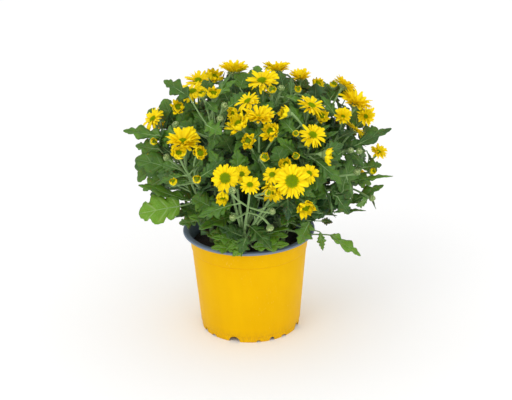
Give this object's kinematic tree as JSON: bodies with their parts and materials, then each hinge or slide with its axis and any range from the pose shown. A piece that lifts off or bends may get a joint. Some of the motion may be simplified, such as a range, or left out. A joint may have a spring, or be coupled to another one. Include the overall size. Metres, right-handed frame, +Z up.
{
  "type": "pot chrysanthemum",
  "caption": "Bushy potted spray chrysanthemum with yellow daisy blooms and green discs, lobed leaves and a tapered yellow plastic pot with a blue-grey lip.",
  "frame": {"origin": "centre of the pot's foot on the ground, under the pot's axis", "axes": "+Z up along the pot's axis, -Y towards the viewer of the picture (the plant's front), +X to the viewer's right"},
  "size_m": [0.26, 0.2336, 0.2671],
  "materials": {
    "pot_plastic": "satin",
    "potting_soil": "matte",
    "leaf_green": "matte",
    "petal_yellow": "matte"
  },
  "bodies": {
    "root": {"bloom_01": "petal_yellow", "bloom_02": "petal_yellow", "bloom_03": "petal_yellow", "bloom_04": "petal_yellow", "bloom_05": "petal_yellow", "bloom_06": "petal_yellow", "bloom_07": "petal_yellow", "bloom_08": "petal_yellow", "bloom_09": "petal_yellow", "bloom_10": "petal_yellow", "bloom_11": "petal_yellow", "bloom_12": "petal_yellow", "bloom_13": "petal_yellow", "bloom_14": "petal_yellow", "bloom_15": "petal_yellow", "bloom_16": "petal_yellow", "bloom_17": "petal_yellow", "bloom_18": "petal_yellow", "bloom_19": "petal_yellow", "bloom_20": "petal_yellow", "bloom_21": "petal_yellow", "bloom_22": "petal_yellow", "bloom_23": "petal_yellow", "bloom_24": "petal_yellow", "bloom_25": "petal_yellow", "bloom_26": "petal_yellow", "bloom_27": "petal_yellow", "bloom_28": "petal_yellow", "bloom_29": "petal_yellow", "bloom_30": "petal_yellow", "bloom_31": "petal_yellow", "half_open_01": "petal_yellow", "half_open_02": "petal_yellow", "half_open_03": "petal_yellow", "half_open_04": "petal_yellow", "half_open_05": "petal_yellow", "half_open_06": "petal_yellow", "half_open_07": "petal_yellow", "half_open_08": "petal_yellow", "half_open_09": "petal_yellow", "half_open_10": "petal_yellow", "half_open_11": "petal_yellow", "half_open_12": "petal_yellow", "half_open_13": "petal_yellow", "half_open_14": "petal_yellow", "half_open_15": "petal_yellow", "half_open_16": "petal_yellow", "half_open_17": "petal_yellow", "half_open_18": "petal_yellow", "half_open_19": "petal_yellow", "half_open_20": "petal_yellow", "half_open_21": "petal_yellow", "plant_front": "leaf_green", "plant_left_back": "leaf_green", "plant_left_front": "leaf_green", "plant_right_back": "leaf_green", "plant_right_front": "leaf_green", "pot": "pot_plastic", "soil": "potting_soil"}
  },
  "joints": []
}
